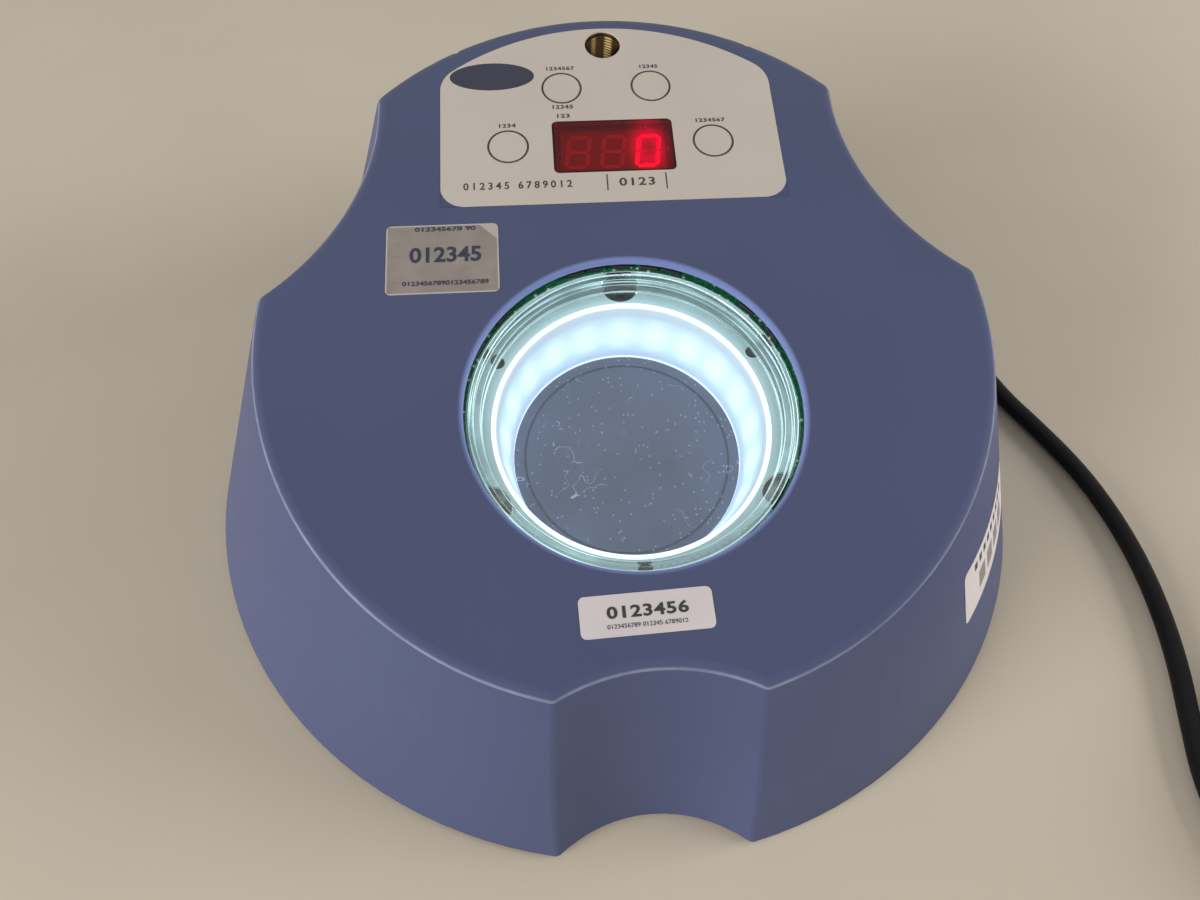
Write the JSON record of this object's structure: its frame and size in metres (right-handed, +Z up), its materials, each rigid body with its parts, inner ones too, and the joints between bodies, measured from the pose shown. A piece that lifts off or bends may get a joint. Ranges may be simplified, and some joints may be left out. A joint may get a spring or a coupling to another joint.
{
  "type": "colony counter",
  "caption": "Bench instrument that counts bacterial colonies: a lit well for a Petri dish on a touch-sensitive carrier, soft keys and a digital display on a sloped deck, mains cord behind.",
  "frame": {"origin": "middle of the footprint on the table", "axes": "+X to the right, +Y to the back, +Z up"},
  "size_m": [0.4809, 0.4787, 0.1237],
  "materials": {
    "housing": "fine textured moulding, slate blue",
    "base": "moulded black",
    "feet": "soft rubber",
    "overlay": "printed polyester film",
    "key_caps": "printed polyester film",
    "window_red": "tinted clear",
    "display_black": "matt",
    "segments_lit": "lit",
    "segments_dark": "unlit",
    "brass": "turned",
    "clear_acrylic": "polished clear",
    "black_plastic": "moulded black",
    "white_plastic": "moulded white",
    "support_ring": "satin",
    "diffuser": "translucent white, lit from behind",
    "background_disc": "satin",
    "circuit_board": "solder mask",
    "emitters": "lit",
    "ribbon": "grey flat cable",
    "rear_panel": "powder coat",
    "rocker": "gloss black",
    "plated_metal": "nickel plated",
    "winding": "wrapped in tape",
    "core_steel": "laminated",
    "capacitor_sleeve": "shrunk sleeve",
    "aluminium": "extruded",
    "terminal_green": "moulded green",
    "lead_insulation": "insulated wire",
    "cord_black": "satin black",
    "screw_steel": "blackened"
  },
  "bodies": {
    "housing": {"background_disc": "background_disc", "base_plate": "base", "base_screws": "screw_steel", "bush_nut": "brass", "buzzer": "black_plastic", "capacitors": "capacitor_sleeve", "control_board": "circuit_board", "control_chips": "black_plastic", "control_screws": "screw_steel", "cord_coil": "cord_black", "cord_tail": "cord_black", "cord_tube": "cord_black", "dark_segments": "segments_dark", "diffuser": "diffuser", "display_module": "display_black", "display_window": "window_red", "feet": "feet", "heat_sink": "aluminium", "inlet_blades": "plated_metal", "key_switches": "black_plastic", "lamp_housing": "white_plastic", "lamp_screws": "screw_steel", "light_emitters": "emitters", "light_strip": "circuit_board", "lit_segments": "segments_lit", "magnifier_bush": "brass", "mains_connector": "cord_black", "mains_inlet": "black_plastic", "mains_leads": "lead_insulation", "mains_plug": "cord_black", "panel_overlay": "overlay", "plug_pins": "plated_metal", "rear_panel": "rear_panel", "rear_screws": "screw_steel", "ribbon_cable": "ribbon", "ring_board": "circuit_board", "ring_board_parts": "black_plastic", "ring_board_screws": "screw_steel", "ring_board_socket": "white_plastic", "serial_posts": "plated_metal", "serial_socket": "plated_metal", "supply_board": "circuit_board", "supply_lead": "lead_insulation", "supply_screws": "screw_steel", "supply_terminals": "terminal_green", "support_ring": "support_ring", "support_screws": "screw_steel", "switch_frame": "black_plastic", "touch_sensors": "black_plastic", "transformer_core": "core_steel", "transformer_winding": "winding", "upper_shell": "housing"},
    "key_1": {"key_1": "key_caps"},
    "key_2": {"key_2": "key_caps"},
    "key_3": {"key_3": "key_caps"},
    "key_4": {"key_4": "key_caps"},
    "dish_stage": {"dish_carrier": "clear_acrylic", "stage_plungers": "clear_acrylic"},
    "rocker": {"power_rocker": "rocker"}
  },
  "joints": [
    {"name": "key_1_push", "type": "slide", "parent": "housing", "child": "key_1", "axis": [0, 0.213, -0.977], "range_m": [0, 0.0003], "stiffness_N_per_m": 1500, "springref_m": -0.0003},
    {"name": "key_2_push", "type": "slide", "parent": "housing", "child": "key_2", "axis": [0, 0.213, -0.977], "range_m": [0, 0.0003], "stiffness_N_per_m": 1500, "springref_m": -0.0003},
    {"name": "key_3_push", "type": "slide", "parent": "housing", "child": "key_3", "axis": [0, 0.213, -0.977], "range_m": [0, 0.0003], "stiffness_N_per_m": 1500, "springref_m": -0.0003},
    {"name": "key_4_push", "type": "slide", "parent": "housing", "child": "key_4", "axis": [0, 0.213, -0.977], "range_m": [0, 0.0003], "stiffness_N_per_m": 1500, "springref_m": -0.0003},
    {"name": "dish_touch", "type": "slide", "parent": "housing", "child": "dish_stage", "axis": [0, 0.213, -0.977], "range_m": [0, 0.0006], "stiffness_N_per_m": 8000, "springref_m": -0.0005},
    {"name": "power_switch", "type": "hinge", "parent": "housing", "child": "rocker", "pos_m": [-0.004, 0.1382, 0.0275], "axis": [1, 0, 0], "range_deg": [-16, 0]}
  ]
}
